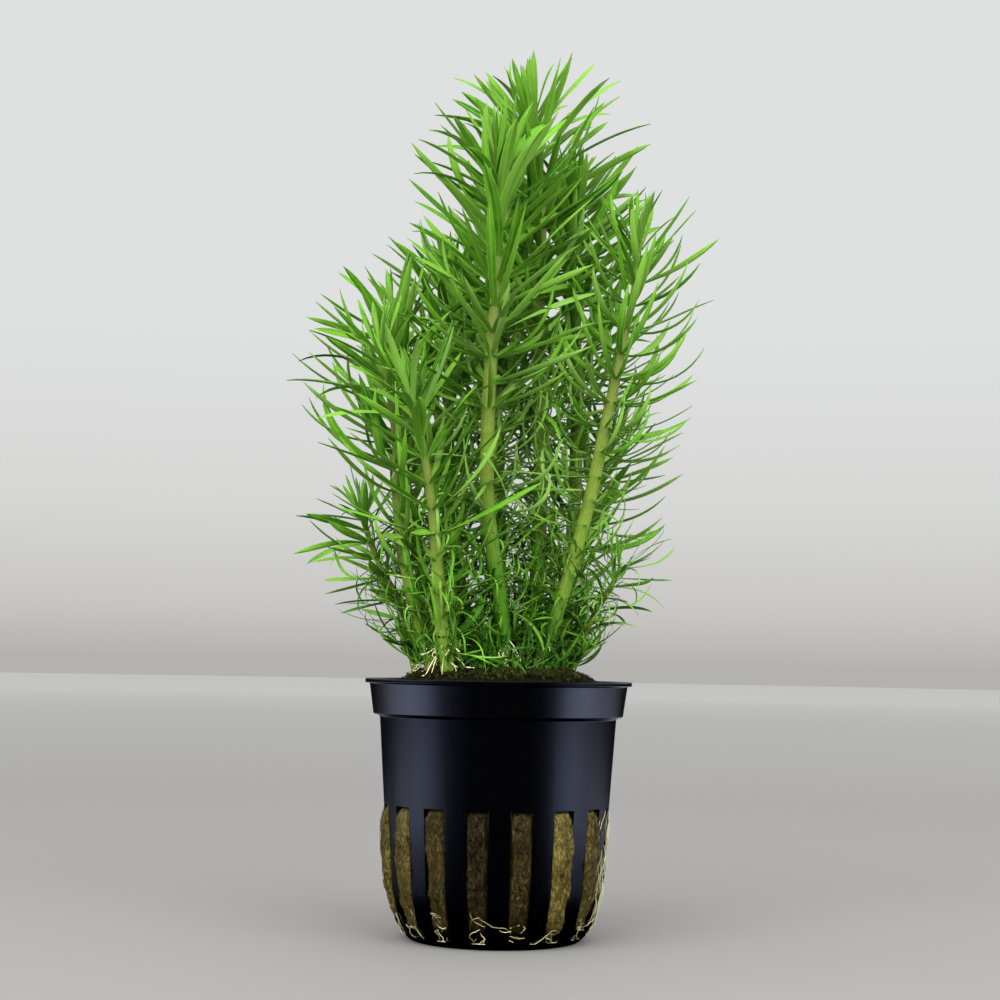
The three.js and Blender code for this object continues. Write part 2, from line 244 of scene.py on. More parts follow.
# Studio: soft boxes and a wide soft sun light the plant, and a graded card round it gives the pot its broad
# highlights. Turn is measured from the front, positive to the right, and lengths are in metres.
studio = {
    # Name, turn, climb, distance, size and watts of each box
    "boxes": [
        ("left_box", -95, 15, 2.2, (2.0, 0.7), 11),
        ("right_box", 95, 15, 2.2, (2.0, 0.7), 13),
        ("front_box", -32, 28, 1.1, (1.0, 0.8), 21.5),
        ("fill_box", 38, 27, 1.1, (1.0, 0.8), 17.5),
        ("top_box", 0, 80, 1.1, (0.6, 0.6), 3),
        ("back_box", 165, 42, 1.0, (0.7, 0.6), 2.0),
    ],
    "aimHeight": 0.095,
    "cardRadius": 2.2,
    "cardHeights": (0.04, 1.07),
    "cardFade": (0.16, 0.48),
    "cardStep": 4,
    "cardStrength": 4.5,
    "card": [
        (-180, "#505050"), (-150, "#5e5e5e"), (-129, "#696969"), (-108, "#bcbcbc"), (-84, "#e6e6e6"),
        (-67, "#c5c5c5"), (-54, "#676767"), (-42, "#404040"), (-28, "#000000"), (29, "#000000"),
        (40, "#202020"), (53, "#575757"), (67, "#d2d2d2"), (83, "#ededed"), (102, "#c0c0c0"),
        (125, "#9e9e9e"), (146, "#7e7e7e"), (180, "#505050"),
    ],
    "boxColour": "#fbf9f1",
    "cardColour": "#e9efff",
    "sunStrength": 0.9,
    "sunWidth": 70,
    "sunTilt": (22, -12),
    "sunColour": "#fffaf2",
    "backdrop": [(0.0, "#b3b2ae"), (0.03, "#c8c7c5"), (0.08, "#d6d6d5"), (0.17, "#dfe0e0")],
    "ambient": "#dadcd9",
    "ambientStrength": 2.25,
    "floor": [(0.0, "#6b6a6b"), (0.15, "#6c6b6c"), (0.45, "#828283"), (1.0, "#999899")],
    # Gloss of the floor in reflections, from the pot outwards: black by the pot as painted shade, then
    # brighter
    "table": [(0.015, "#000000"), (0.022, "#68686e"), (0.03, "#6e6e74"), (0.06, "#f8f8fd")],
    "floorPale": 3.0,
    "floorSpeckle": 0.02,
    "floorRadius": 6.0,
    "floorSides": 96,
    "floorDrop": 0.06 * mm,
}


def makeLights():
    for name, turn, climb, distance, size, watts in studio["boxes"]:
        data = bpy.data.lights.new(name, "AREA")
        data.shape = "RECTANGLE"
        data.size, data.size_y = size
        data.energy = watts
        data.color = linear(studio["boxColour"])[:3]
        holder = addObject(name, data)
        turn, climb = radians(turn), radians(climb)
        away = Vector((sin(turn) * cos(climb), -cos(turn) * cos(climb), sin(climb)))
        holder.location = Vector((0, 0, studio["aimHeight"])) + away * distance
        holder.rotation_euler = away.to_track_quat("Z", "Y").to_euler()
        holder.visible_camera = False
        holder.visible_glossy = False

    data = bpy.data.lights.new("soft_sun", "SUN")
    data.energy = studio["sunStrength"]
    data.angle = radians(studio["sunWidth"])
    data.color = linear(studio["sunColour"])[:3]
    holder = addObject("soft_sun", data)
    holder.rotation_euler = [radians(turn) for turn in (*studio["sunTilt"], 0)]


# The backdrop is a pale paper for the camera and an even light for the rest, but none for reflections
def makeBackdrop():
    world = bpy.data.worlds.new("studio")
    bpy.context.scene.world = world
    add = emptied(world)
    path = add("LightPath")
    direction = add("TexCoord")
    climb = add("SeparateXYZ", {"Vector": direction["Generated"]})
    paper = add("ValToRGB", {"Fac": climb["Z"]}, stops=studio["backdrop"])
    seen = add("Background", {"Color": paper["Color"]})
    dark = add("Math", {0: 1.0, 1: path["Is Glossy Ray"]}, operation="SUBTRACT")
    strength = add("Math", {0: dark[0], 1: studio["ambientStrength"]}, operation="MULTIPLY")
    lit = add("Background", {"Color": linear(studio["ambient"]), "Strength": strength[0]})
    mixed = add("MixShader", {0: path["Is Camera Ray"], 1: lit[0], 2: seen[0]})
    add("OutputWorld", {"Surface": mixed[0]})


# The floor grows paler away from the plant, where less of the light reaches
def makeFloor():
    material, add = newMaterial("painted studio floor")
    place = add("TexCoord")["Object"]
    away = add("VectorMath", {0: place}, operation="LENGTH")
    speckle = add("TexNoise", {"Vector": place, "Scale": 3.0, "Detail": 3.0})
    spread = add("Math", {0: away["Value"], 1: 1 / studio["floorPale"]}, operation="MULTIPLY")
    mottled = add("Math", {
        0: speckle["Fac"], 1: studio["floorSpeckle"], 2: spread[0],
    }, operation="MULTIPLY_ADD")
    shade = add("ValToRGB", {"Fac": mottled[0]}, stops=studio["floor"])
    surface = add("BsdfPrincipled", {
        "Base Color": shade["Color"], "Roughness": 0.85, "Specular IOR Level": 0.2,
    })
    # In reflections the floor is a polished table, which shows nothing but the light card; it is black by
    # the pot as painted shade, the pot's own shadow on the table
    polish = add("ValToRGB", {"Fac": spread[0]}, stops=studio["table"])
    table = add("BsdfGlossy", {"Color": polish["Color"], "Roughness": 0.04})
    path = add("LightPath")
    mixed = add("MixShader", {0: path["Is Glossy Ray"], 1: surface[0], 2: table[0]})
    add("OutputMaterial", {"Surface": mixed[0]})
    draft = Draft()
    sides = studio["floorSides"]
    draft.addFace(*[
        draft.addPoint(onCircle(studio["floorRadius"], 360 * side / sides, -studio["floorDrop"]) / mm)
        for side in range(sides)
    ])
    floor = draft.makeObject("floor", [material])


# The card is a lit band that fades downwards, its strength goes by the turn, and reflections alone show it
def makeLightCard():
    material, add = newMaterial("graded light card")
    place = add("TexCoord")["Object"]
    sides = add("SeparateXYZ", {"Vector": place})
    front = add("Math", {0: sides["Y"], 1: -1.0}, operation="MULTIPLY")
    turn = add("Math", {0: sides["X"], 1: front[0]}, operation="ARCTAN2")
    share = add("Math", {0: turn[0], 1: 0.5 / pi, 2: 0.5}, operation="MULTIPLY_ADD")
    graded = add("ValToRGB", {"Fac": share[0]}, stops=[
        ((angle + 180) / 360, code) for angle, code in studio["card"]
    ])
    fade = add("MapRange", {
        "Value": sides["Z"], "From Min": studio["cardFade"][0], "From Max": studio["cardFade"][1],
        "To Max": studio["cardStrength"],
    })
    strength = add("Math", {0: graded["Color"], 1: fade["Result"]}, operation="MULTIPLY")
    glow = add("Emission", {"Color": linear(studio["cardColour"]), "Strength": strength[0]})
    add("OutputMaterial", {"Surface": glow[0]})
    material.cycles.emission_sampling = "NONE"
    draft = Draft()
    angles = range(0, 360, studio["cardStep"])
    draft.addWalls(*(
        [draft.addPoint(onCircle(studio["cardRadius"] / mm, angle, height / mm)) for angle in angles]
        for height in studio["cardHeights"]
    ))
    card = draft.makeObject("light_card", [material])
    for ray in ("camera", "diffuse", "transmission", "volume_scatter", "shadow"):
        setattr(card, "visible_" + ray, False)


makeCamera()
makeLights()
makeBackdrop()
makeFloor()
makeLightCard()
bpy.context.scene.view_settings.view_transform = "Standard"
bpy.context.scene.view_settings.look = "None"
print("camera and studio ready")


# Pot, in millimetres: outer profile from the rim's top to the middle of the foot, and the inner one beside
pot = {
    "outer": [
        (27.6, 52.7), (27.6, 51.8), (26.7, 51.8), (25.8, 45.5), (24.45, 45.1), (23.2, 27.2), (22.1, 10.7),
        (20.4, 3.6), (19.2, 1.6), (17.6, 0), (12, 0), (7.5, 0), (0.01, 0),
    ],
    "inner": [
        (26.1, 52.7), (25.9, 52.0), (25.6, 50.9), (24.7, 45.5), (23.35, 44.4), (22.1, 27.2), (21.0, 10.7),
        (19.3, 3.9), (18.2, 2.2), (17.0, 1.1), (12, 1.1), (7.5, 1.1), (0.01, 1.1),
    ],
    "slots": 16,
    "slotRows": (5, 7),
    "drainRow": 10,
    "drainEvery": 4,
    "frontRib": 1.7,
    "stepsPerSide": 5,
    "edgeRadius": 0.22,
    "edgeSteps": 3,
    "edgeAngle": 35,
}
sideAngle = 180 / pot["slots"]
firstSide = -90 + pot["frontRib"] - sideAngle / 2


def slotMiddle(slot):
    return firstSide + (2 * slot + 1.5) * sideAngle


# Moulded polypropylene: a blue-black satin skin with broad highlights and the faint mottle of the mould
def polypropyleneMoulded():
    material, add = newMaterial("moulded black polypropylene")
    place = add("TexCoord")["Object"]
    # The mould's mottle is about 1.6 mm wide and its satin grain about 0.15 mm
    mottle = add("TexNoise", {
        "Vector": place, "Scale": 1 / (1.6 * mm), "Detail": 4.0, "Roughness": 0.6,
    })
    grain = add("TexNoise", {"Vector": place, "Scale": 1 / (0.15 * mm)})
    tint = add("ValToRGB", {"Fac": mottle["Fac"]}, stops=[
        (0.25, "#000000"), (0.55, "#000001"), (0.85, "#020203"),
    ])
    gloss = add("MapRange", {
        "Value": mottle["Fac"], "From Min": 0.3, "From Max": 0.75, "To Min": 0.19, "To Max": 0.23,
    })
    relief = add("Bump", {"Strength": 0.12, "Distance": 0.05 * mm, "Height": grain["Fac"]})
    skin = add("BsdfPrincipled", {
        "Base Color": tint["Color"], "Roughness": gloss["Result"], "IOR": 1.49,
        "Specular Tint": linear("#dde4ff"), "Normal": relief["Normal"],
    })
    add("OutputMaterial", {"Surface": skin[0]})
    return material


# The pot's wall as cells between the two profiles, with slots and drain openings left out
def makePot():
    draft = Draft()
    steps = pot["stepsPerSide"]
    columns = 2 * pot["slots"] * steps
    rows = len(pot["outer"]) - 1
    firstSlot, lastSlot = pot["slotRows"]

    def isCell(column, row):
        side = column % columns // steps
        inSlot = side % 2 == 1 and firstSlot <= row <= lastSlot
        inDrain = side % pot["drainEvery"] == 1 and row == pot["drainRow"]
        return 0 <= row < rows and not inSlot and not inDrain

    angles = [firstSide + column * sideAngle / steps for column in range(columns)]
    outer, inner = (
        [[draft.addPoint(onCircle(r, angle, z)) for angle in angles] for r, z in pot[profile]]
        for profile in ("outer", "inner")
    )
    for column in range(columns):
        following = (column + 1) % columns
        for row in range(rows):
            if not isCell(column, row):
                continue
            out, back = (
                [skin[row][column], skin[row + 1][column], skin[row + 1][following], skin[row][following]]
                for skin in (outer, inner)
            )
            draft.addFace(*out)
            draft.addFace(*reversed(back))
            # The wall's thickness shows on each side where the next cell is open
            for aside, below, first, second in ((-1, 0, 1, 0), (1, 0, 3, 2), (0, -1, 0, 3), (0, 1, 2, 1)):
                if not isCell(column + aside, row + below) and row + below < rows:
                    draft.addFace(out[first], out[second], back[second], back[first])
    piece = makePiece("pot_shell", draft, [polypropyleneMoulded()], "pot_plastic", "net_pot")
    rounded = piece.modifiers.new("rounded edges", "BEVEL")
    rounded.width = pot["edgeRadius"] * mm
    rounded.segments = pot["edgeSteps"]
    rounded.limit_method = "ANGLE"
    rounded.angle_limit = radians(pot["edgeAngle"])
    piece.modifiers.new("even shading", "WEIGHTED_NORMAL")


makePot()
print("pot ready")


# Plug of mineral wool, in millimetres and degrees: its core stands inside the wall and it swells out through
# every slot. Swells and tones go round the slots from the one right of the front. Tilts and bends of loose
# fibres are in radians.
wool = {
    "core": [
        (0.01, 55.2), (7, 55.0), (14, 54.6), (18, 53.7), (21, 52.4), (24.9, 49.5), (24.35, 45.85),
        (23.0, 44.75), (21.75, 26.85), (21.2, 18.9), (20.65, 10.7), (18.95, 4.1), (17.75, 2.6), (16.8, 1.45),
        (0.01, 1.45),
    ],
    "swellRows": [
        (2.0, 0.0), (2.8, 1.0), (4.1, 1.75), (10.7, 2.3), (19, 2.75), (25.6, 2.1), (26.9, 0.7), (27.4, 0.0),
    ],
    "swells": (0.88, 1.15, 0.9, 0.4, 0.85, 0.9, 0.8, 0.95, 0.85, 1.0, 0.8, 0.9, 1.0, 0.95, 0.85, 0.78),
    "tones": (-0.02, 0.15, 0.1, 0.06, 0, 0.08, 0.02, 0.05, 0.1, 0.0, 0.06, 0.05, 0.1, 0.1, 0.02, -0.07),
    # The wool low in the slots is darkened as painted shade at the slots' feet
    "footPaintedShade": -0.16, "footFade": (2.5, 6), "crownTone": -0.14, "crownLumps": 0.9, "crownLumpWidth": 3.5,
    "crownSunk": 0.4, "swellEdge": (4.15, 5.25), "swellFull": 1.2, "waver": 1.1, "waverHeight": 4.5,
    "lumps": 0.55, "lumpWidth": 2.6, "lumpsSunk": 0.2, "fluff": 0.22, "fluffScale": 1.9, "rowStep": 0.75,
    "columnsPerSlot": 18,
    "fibres": {
        "radius": 0.045, "steps": 6, "perSlot": 150, "spread": 4.3, "edge": 4.7, "heights": (4, 26),
        "foot": 3, "top": 26.6, "turnRadius": 22, "tilt": 0.6, "bend": 0.45, "step": 0.9,
        "lifts": (0.02, 0.22), "rises": (-0.06, 0.09), "tones": (-0.08, 0.14), "onCrown": 900,
        "crownRadius": 24, "crownEdge": 24.2, "crownBend": 0.4, "crownStep": 0.8, "crownLifts": (-0.1, 0.3),
        "crownTones": (-0.1, 0.12),
    },
    "seed": 11,
}


# Mineral wool: matted olive-brown to straw-coloured threads, dull; its colour follows the tufts' relief,
# with painted shade in its pits and painted highlight on its crests
def mineralWoolMatted():
    material, add, tone = newMaterial("matted mineral wool", "tone")
    place = add("TexCoord")["Object"]
    # Tufts are about 0.45 mm wide and drawn out upwards, and stained patches are about 6 mm wide
    upright = add("VectorMath", {0: place, 1: (1.0, 1.0, 0.5)}, operation="MULTIPLY")
    tufts = add("TexNoise", {
        "Vector": upright["Vector"], "Scale": 1 / (0.45 * mm), "Detail": 6.0, "Roughness": 0.68,
        "Distortion": 0.8,
    })
    patches = add("TexNoise", {"Vector": place, "Scale": 1 / (6 * mm)})
    # The tufts' relief sets the colour too: painted shade in the pits and painted highlight on the crests,
    # with the wool's tone added
    lifted = add("Math", {0: tufts["Fac"], 1: tone}, operation="ADD")
    strawWithPaintedShade = add("ValToRGB", {"Fac": lifted[0]}, stops=[
        (0.32, "#080602"), (0.46, "#261f0b"), (0.62, "#4c441d"), (0.88, "#938a50"),
    ])
    stained = add("Mix", {
        0: patches["Fac"], 6: strawWithPaintedShade["Color"], 7: linear("#6a602b"),
    }, data_type="RGBA", blend_type="SOFT_LIGHT")
    relief = add("Bump", {"Strength": 0.9, "Distance": 0.35 * mm, "Height": tufts["Fac"]})
    surface = add("BsdfPrincipled", {
        "Base Color": stained[2], "Roughness": 0.6, "Specular IOR Level": 0.25, "Normal": relief["Normal"],
    })
    add("OutputMaterial", {"Surface": surface[0]})
    return material


# Radius of the wool's surface without its fluff, and how far it swells in the slot at this angle
def woolSurface(angle, height, slotShare):
    core = along([(z, r) for r, z in reversed(wool["core"][5:-1])], height)
    turned = (angle - firstSide) / sideAngle
    fromMiddle = abs((turned - 1.5 + 1) % 2 - 1) * sideAngle
    swell = along(wool["swellRows"], height) * (1 - smoothStep(*wool["swellEdge"], fromMiddle))
    return core, swell * slotShare


def crownHeight(radius):
    return along(wool["core"][:6], radius)


def makeWool():
    chance = random.Random(wool["seed"])
    fibres = wool["fibres"]
    draft = Draft("tone")

    def inSlot(shares, angle):
        return shares[int((angle - firstSide) / (2 * sideAngle)) % pot["slots"]]

    def surfacePoint(angle, height, lift=0.0):
        # The swelling wavers upwards in another way in each slot
        inNoise = Vector((inSlot(range(pot["slots"]), angle) * 7.3, height / wool["waverHeight"], 0.5))
        waver = noise.noise(inNoise) * wool["waver"]
        core, swell = woolSurface(angle + waver, height, inSlot(wool["swells"], angle))
        bare = onCircle(core, angle, height)
        lumps = noise.fractal(bare / wool["lumpWidth"], 1.0, 2.0, 3) * wool["lumps"] - wool["lumpsSunk"]
        fluff = noise.noise(bare * wool["fluffScale"]) * wool["fluff"]
        grown = smoothStep(0.0, wool["swellFull"], swell)
        return onCircle(core + swell + lumps * grown + fluff * grown + lift, angle, height)

    rows = []
    for (r, z), (nextR, nextZ) in zip(wool["core"], wool["core"][1:]):
        steps = max(1, round(hypot(nextR - r, nextZ - z) / wool["rowStep"]))
        rows += [(lerp(r, nextR, step / steps), lerp(z, nextZ, step / steps)) for step in range(steps)]
    rows.append(wool["core"][-1])
    columns = pot["slots"] * wool["columnsPerSlot"]
    angles = [firstSide + column * 360 / columns for column in range(columns)]
    rings = []
    shoulder, foot = wool["core"][5][1], wool["core"][-2][1]
    for r, z in rows:
        ring = []
        for angle in angles:
            tone = wool["crownTone"]
            if foot < z < shoulder:
                place = surfacePoint(angle, z)
                # Painted shade darkens the wool towards the foot of each slot
                low = 1 - smoothStep(*wool["footFade"], z)
                tone = inSlot(wool["tones"], angle) + wool["footPaintedShade"] * low
            else:
                place = onCircle(r, angle, z)
                if z >= shoulder:
                    lumps = noise.fractal(place / wool["crownLumpWidth"], 1.0, 2.0, 4)
                    place.z += lumps * wool["crownLumps"] - wool["crownSunk"]
            ring.append(draft.addPoint(place, tone=tone))
        rings.append(ring)
    for upper, lower in zip(rings, rings[1:]):
        draft.addWalls(lower, upper)
    draft.addFace(*rings[0])
    draft.addFace(*reversed(rings[-1]))

    def addFibre(places, tone, tones):
        if len(places) > 2:
            draft.addThread(places, fibres["radius"], tone=tone + chance.uniform(*tones))

    # Loose threads lie on the wool in each slot, most of them upright
    for slot in range(pot["slots"]):
        middle = slotMiddle(slot)
        for _ in range(fibres["perSlot"]):
            angle = middle + chance.uniform(-fibres["spread"], fibres["spread"])
            height = chance.uniform(*fibres["heights"])
            heading = chance.gauss(pi / 2, fibres["tilt"])
            lift = chance.uniform(*fibres["lifts"])
            places = []
            for _ in range(fibres["steps"]):
                if abs(angle - middle) > fibres["edge"] or not fibres["foot"] < height < fibres["top"]:
                    break
                places.append(surfacePoint(angle, height, lift))
                heading += chance.gauss(0, fibres["bend"])
                angle += degrees(cos(heading) * fibres["step"] / fibres["turnRadius"])
                height += sin(heading) * fibres["step"]
                lift += chance.uniform(*fibres["rises"])
            addFibre(places, inSlot(wool["tones"], middle), fibres["tones"])

    # More of them lie flat on the crown
    for _ in range(fibres["onCrown"]):
        place = onCircle(fibres["crownRadius"] * sqrt(chance.random()), chance.uniform(0, 360), 0)
        heading = chance.uniform(0, 2 * pi)
        places = []
        for _ in range(fibres["steps"]):
            radius = hypot(place.x, place.y)
            if radius > fibres["crownEdge"]:
                break
            height = crownHeight(radius) + chance.uniform(*fibres["crownLifts"])
            places.append(Vector((place.x, place.y, height)))
            heading += chance.gauss(0, fibres["crownBend"])
            place += levelWay(heading) * fibres["crownStep"]
        addFibre(places, wool["crownTone"], fibres["crownTones"])
    makePiece("wool_body", draft, [mineralWoolMatted()], "mineral_wool", "wool_plug")


makeWool()
print("wool ready")


# Shoots: each route is the middle of a stem in millimetres, from the wool to the growing tip, as in the
# solids. Young leaves arch and older ones sweep by so many degrees, and the opening is how far below the tip
# the lift of the leaves is complete.
stemDepth = 9
shootKeys = [
    "name", "radius", "turn", "bare", "wide", "full", "lift", "opening", "long", "arch", "sweep", "seed",
    "route",
]
shoots = [dict(zip(shootKeys, row)) for row in [
    ("centre", 1.42, 10, 0.7, 1.0, 1.12, 0.9, 8, 1.0, -4, 10, 17, [
        (1, -8, 55.5), (0.5, -8, 66), (-2.6, -9, 86), (-3.2, -10, 102), (-2.5, -11, 124), (-1.5, -12, 143),
        (-2.5, -13, 160),
    ]),
    ("right", 1.32, 25, 0.65, 0.78, 1.0, 0.95, 8, 0.82, 42, 78, 18, [
        (7.8, -4, 55.5), (12.2, -5, 68), (17.6, -6, 88), (20.8, -7, 104), (24, -7, 120), (26.8, -7, 135),
        (26.8, -7, 146),
    ]),
    ("left_front", 1.4, 0, 0.7, 0.9, 0.68, 0.85, 8, 0.97, -8, 25, 16, [
        (-10.5, -12, 55.5), (-12, -13, 66), (-13.5, -15, 83), (-16, -17, 99), (-19.5, -18, 112),
    ]),
    ("left_back", 1.35, 40, 0.2, 1.0, 0.78, 0.72, 8, 1.08, -24, 60, 22, [
        (-12.5, 6, 55.5), (-17, 6, 76), (-20.5, 6, 94), (-21, 6, 112), (-24, 8, 130),
    ]),
    ("left_low", 1.2, 15, 0.2, 0.8, 0.95, 0.45, 3, 0.78, -12, -15, 8, [
        (-17.5, 2, 55.5), (-20.5, 2, 67), (-26, 2, 77.5), (-30, 2, 88),
    ]),
    ("tall_back", 1.5, 5, 0.2, 1.08, 1.15, 0.8, 8, 1.05, -2, 15, 2, [
        (6.5, 4, 55.5), (8, 6, 82), (8, 7, 106), (7, 8, 130), (7.5, 8, 156), (4.5, 8, 175.5),
    ]),
    ("right_back", 1.4, 33, 0.0, 1.0, 1.2, 0.8, 8, 0.95, 24, 45, 15, [
        (13, 8, 55.5), (15.5, 13, 87), (16, 16, 118), (14.5, 17, 143), (14.5, 17, 160),
    ]),
    ("left_mid", 1.35, 20, 0.4, 0.92, 0.85, 0.8, 8, 0.98, -18, 60, 13, [
        (-14, -4, 55.5), (-18.5, -4, 71), (-21.5, -4, 88), (-22.5, -4, 104), (-26, -5, 122),
    ]),
    ("back_centre", 1.4, 50, 0.0, 1.0, 1.25, 0.95, 8, 0.95, 0, 15, 6, [
        (0, 11, 55.5), (-0.5, 15, 87), (-1.5, 19, 114), (-0.5, 21, 139), (0.5, 22, 153),
    ]),
    ("back_left", 1.35, 12, 0.0, 1.0, 1.15, 0.9, 8, 0.98, -8, 30, 12, [
        (-6, 10, 55.5), (-10, 15, 83), (-12, 21, 107), (-12, 24, 130), (-13, 25, 142),
    ]),
    ("back_right", 1.25, 28, 0.0, 0.85, 0.9, 0.7, 8, 0.85, 30, 45, 6, [
        (8.5, 13, 55.5), (15, 18, 75), (21, 21, 93), (24, 22, 107),
    ]),
    ("right_low", 1.2, 45, 0.2, 0.5, 0.6, 0.3, 1.5, 1.0, -40, -20, 11, [
        (15, 4, 55.5), (19, 5, 65), (23, 6, 72), (25.5, 6, 77),
    ]),
]]

# Stems, in millimetres: rings stand on every node and between the nodes
stems = {
    "sides": 28, "ribs": 0.035, "taper": [(0, 0.4), (12, 0.5), (24, 0.62), (38, 0.88), (55, 1.0)],
    "bareStart": 4.0, "rings": [(0.0, 1.08), (0.07, 1.02), (0.35, 1.0), (0.65, 1.0), (0.93, 1.03)],
    "swollen": 0.08, "ringTone": 0.4, "bud": (0.8, 0.15), "curveSteps": 60, "probeEvery": 6,
    "clearance": 2.0,
}

# Whorls, in millimetres below the growing tip
whorls = {
    "first": 0.7, "spacingAtTip": 1.6, "spacingGrowth": 0.26, "spacingFull": 5.2, "lowest": 2.5,
    "stagger": 6, "leaves": [(0, 7), (12, 8), (25, 10), (40, 13), (60, 14)],
}

# Leaves, in millimetres and degrees. Stages give the distance below the growing tip, length, rise and bend,
# and widths go by the same distance. Spreads are those of young leaves and how much they grow in old ones.
leaves = {
    "stages": [
        (0, 9.5, 82, -2), (1.5, 13, 71, -4), (3, 17.5, 60, -6), (7, 21.5, 52, -8), (14, 24.5, 46, -6),
        (30, 25, 36, 4), (50, 23.5, 22, 14), (70, 21, 10, 12), (90, 18, 2, 4), (115, 15, -4, -6),
    ],
    "widths": [(0, 1.0), (4, 1.75), (12, 2.05), (28, 1.75), (45, 1.3), (65, 0.88), (115, 0.62)],
    "spreads": {"rise": (8, 11), "bend": (16, 24), "curl": (14, 42), "drift": (16, 34), "twist": (48, 16)},
    "lengthShares": (0.84, 1.05), "widthShares": (0.8, 1.1),
    "outline": [
        (0, 0.5), (0.12, 0.78), (0.3, 0.97), (0.45, 1.0), (0.65, 0.95), (0.8, 0.77), (0.9, 0.5), (1, 0.03),
    ],
    "segments": 10, "thickness": 0.3, "fold": 0.24, "age": (25, 90), "arching": (1, 10),
    "sweeping": (12, 24), "hanging": (60, 85), "archDrop": 0.35, "tries": 9, "turnSpread": 5,
    # Older leaves are paler, partly as painted light that lifts the shaded middle of the plant, and leaves
    # in the heart darker as painted shade
    "liftPerTry": 4, "rooted": 0.8, "baseShare": 0.5, "fullHeight": 28, "tone": (0.43, 0.13),
    "oldPaintedLight": 0.36, "heartPaintedShade": 0.5, "heartEdge": 14, "bareTurn": (0.55, 0.9), "bareDepth": (26, 52),
    "worn": 0.87, "wornTurn": (-0.25, 0.4), "wornHeights": (89, 108), "leafyTop": 24, "leafyShare": 0.4,
    "leafyFade": 14, "stubShare": 0.35, "stubs": (0.05, 0.13), "lowestPoint": 53.4,
    "skirt": [(54, 15.5), (56, 17.8), (59.5, 22.5), (63.7, 30), (68, 36), (75, 70)], "skirtDepth": 0.75,
    "stray": 1.2, "sharpAngle": 62,
}

# The plant's heart, in millimetres, where stems and leaves are darkened with painted shade, a deeper green
# that stands in for the shadow inside the plant
shadedHeart = {"fade": 8, "heights": (66, 96), "stemEdge": 8}


# Points on the curve through a route's places, with the length up to each
def stemLine(route):
    points = [Vector(place) for place in route]
    foot = points[0] - (points[1] - points[0]).normalized() * stemDepth
    points = [foot] + points
    points = [2 * points[0] - points[1]] + points + [2 * points[-1] - points[-2]]
    line = []
    for before, start, end, after in zip(points, points[1:], points[2:], points[3:]):
        leaving, arriving = (end - before) / 2, (after - start) / 2
        for step in range(stems["curveSteps"]):
            t = step / stems["curveSteps"]
            line.append(
                start + leaving * t
                + (3 * (end - start) - 2 * leaving - arriving) * t ** 2
                + (2 * (start - end) + leaving + arriving) * t ** 3
            )
    line.append(points[-2])
    lengths = [0.0]
    for first, second in zip(line, line[1:]):
        lengths.append(lengths[-1] + (second - first).length)
    return line, lengths


# Place and the three directions of the stem at a length from its foot
def stemFrame(stem, length):
    line, lengths = stem
    length = clamp(length, 0.0, lengths[-1])
    low, high = 0, len(lengths) - 2
    while low < high:
        middle = (low + high + 1) // 2
        if lengths[middle] <= length:
            low = middle
        else:
            high = middle - 1
    share = (length - lengths[low]) / (lengths[low + 1] - lengths[low])
    up = (line[low + 1] - line[low]).normalized()
    right = Vector((0, 1, 0)).cross(up).normalized()
    return line[low].lerp(line[low + 1], share), up, right, up.cross(right)


def whorlDepths(reach):
    depths = []
    below = whorls["first"]
    while below < reach:
        depths.append(below)
        below += min(whorls["spacingFull"], whorls["spacingAtTip"] + whorls["spacingGrowth"] * below)
    return depths


# The middle line of a leaf with its two cross directions at every step
def bladeLine(root, out, up, leaf):
    side = up.cross(out)
    place = root.copy()
    line = []
    steps = leaves["segments"]
    for step in range(steps + 1):
        share = step / steps
        climb = radians(leaf["rise"] + leaf["bend"] * share + leaf["curl"] * share * share)
        swing = radians(leaf["drift"] * share)
        across = between(side, -out, swing)
        heading = between(between(out, side, swing), up, climb)
        turned = between(across, heading.cross(across), radians(leaf["twist"] * share))
        line.append((place.copy(), turned, heading.cross(turned)))
        place += heading * leaf["length"] / steps
    return line


# A closed blade, unless it isn't clear: two halves that rise from the midrib, and a rounded keel below
def addClearBlade(draft, root, out, up, leaf, shootIndex):
    line = bladeLine(root, out, up, leaf)
    if not isClear(line, shootIndex):
        return False
    rings = []
    steps = len(line) - 1
    for step, (place, across, face) in enumerate(line):
        share = step / steps
        breadth = along(leaves["outline"], share)
        half = leaf["width"] / 2 * breadth
        thick = leaves["thickness"] * (0.4 + 0.6 * breadth) * leaf["width"] / 2
        edge = face * half * leaves["fold"]
        paint = {"tone": leaf["tone"], "share": share}
        rings.append([
            draft.addPoint(place - across * half + edge, vein=0.0, **paint),
            draft.addPoint(place - face * thick, vein=1.0, **paint),
            draft.addPoint(place + across * half + edge, vein=0.0, **paint),
            draft.addPoint(place + face * thick * 0.1, vein=1.0, **paint),
        ])
    for lower, upper in zip(rings, rings[1:]):
        draft.addWalls(lower, upper, finish=1)
    draft.addFace(*reversed(rings[0]), finish=1)
    draft.addFace(*rings[-1], finish=1)
    return True


# Sprouts at a stem's foot: short, thin and curly leaves, in millimetres and degrees
sprouts = {
    "perStem": 115, "worn": 0.6, "heights": (0.3, 28.0), "lengths": (6.0, 16.0), "widths": (0.3, 0.75),
    "rises": (-20, 60), "curl": 95, "twist": 60, "tries": 6, "rooted": 0.7, "tones": (0.2, 0.5),
    # Sprouts are darker low down, in the heart and on the crown, as painted shade at the plant's foot
    "paintedShadeHeight": 20, "toneSpread": 0.2, "heartPaintedShade": 0.35, "heartEdge": 10, "atFoot": 60,
    "footHeights": (0.2, 6.0), "footLengths": (2.0, 6.0), "onCrown": 420, "crownRadius": 13.5,
    "crownLengths": (4.0, 13.0), "crownTone": 0.12, "seed": 47,
}

